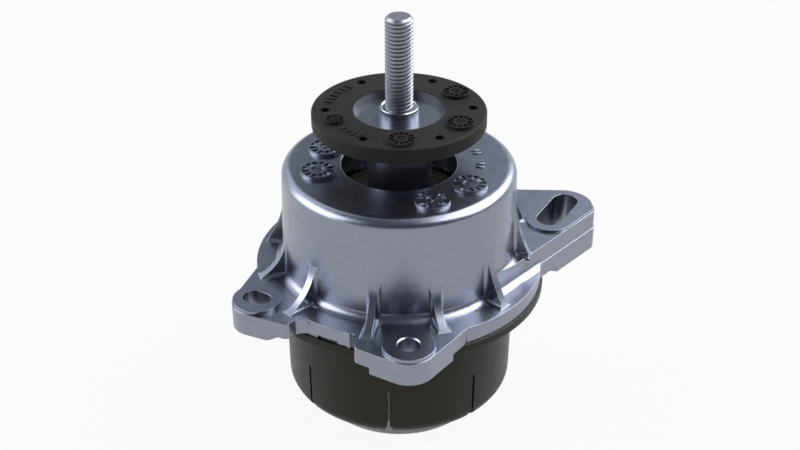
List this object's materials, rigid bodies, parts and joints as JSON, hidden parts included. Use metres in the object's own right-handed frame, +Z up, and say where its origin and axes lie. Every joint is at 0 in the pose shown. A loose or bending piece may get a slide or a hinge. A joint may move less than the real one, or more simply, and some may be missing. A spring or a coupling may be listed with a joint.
{
  "type": "engine mount",
  "caption": "Fluid-filled engine mount: cast housing with bolting ears and ribs, threaded stud on a stop disc over a sprung core, moulded dust cover below.",
  "frame": {"origin": "on the stud's axis, on the flat foot of the base pot", "axes": "+Z up along the stud; -Y towards the single round-holed ear"},
  "size_m": [0.1635, 0.1479, 0.19],
  "materials": {
    "stud_steel": "zinc plated",
    "ring_rubber": "matte",
    "core_steel": "dark coated",
    "spring_rubber": "matte",
    "sleeve_steel": "plain",
    "cast_aluminium": "fine-grained casting",
    "plate_aluminium": "plain",
    "pot_steel": "grey coat",
    "cover_plastic": "fine-grained"
  },
  "bodies": {
    "frame": {"housing": "cast_aluminium", "dust_cover": "cover_plastic", "base_pot": "pot_steel", "spring_sleeve": "sleeve_steel", "main_spring": "spring_rubber", "seal_ring": "spring_rubber", "upper_channel_plate": "plate_aluminium", "decoupler": "spring_rubber", "lower_channel_plate": "plate_aluminium", "bellows_ring": "sleeve_steel", "bellows": "spring_rubber"},
    "core": {"core": "core_steel", "stud": "stud_steel", "hub_plate": "stud_steel", "stop_ring": "ring_rubber", "rebound_buffer": "spring_rubber"}
  },
  "joints": [
    {"name": "core_bounce", "type": "slide", "parent": "frame", "child": "core", "axis": [0, 0, 1], "range_m": [-0.017, 0.0055], "stiffness_N_per_m": 150000, "deforming": ["main_spring"]}
  ]
}
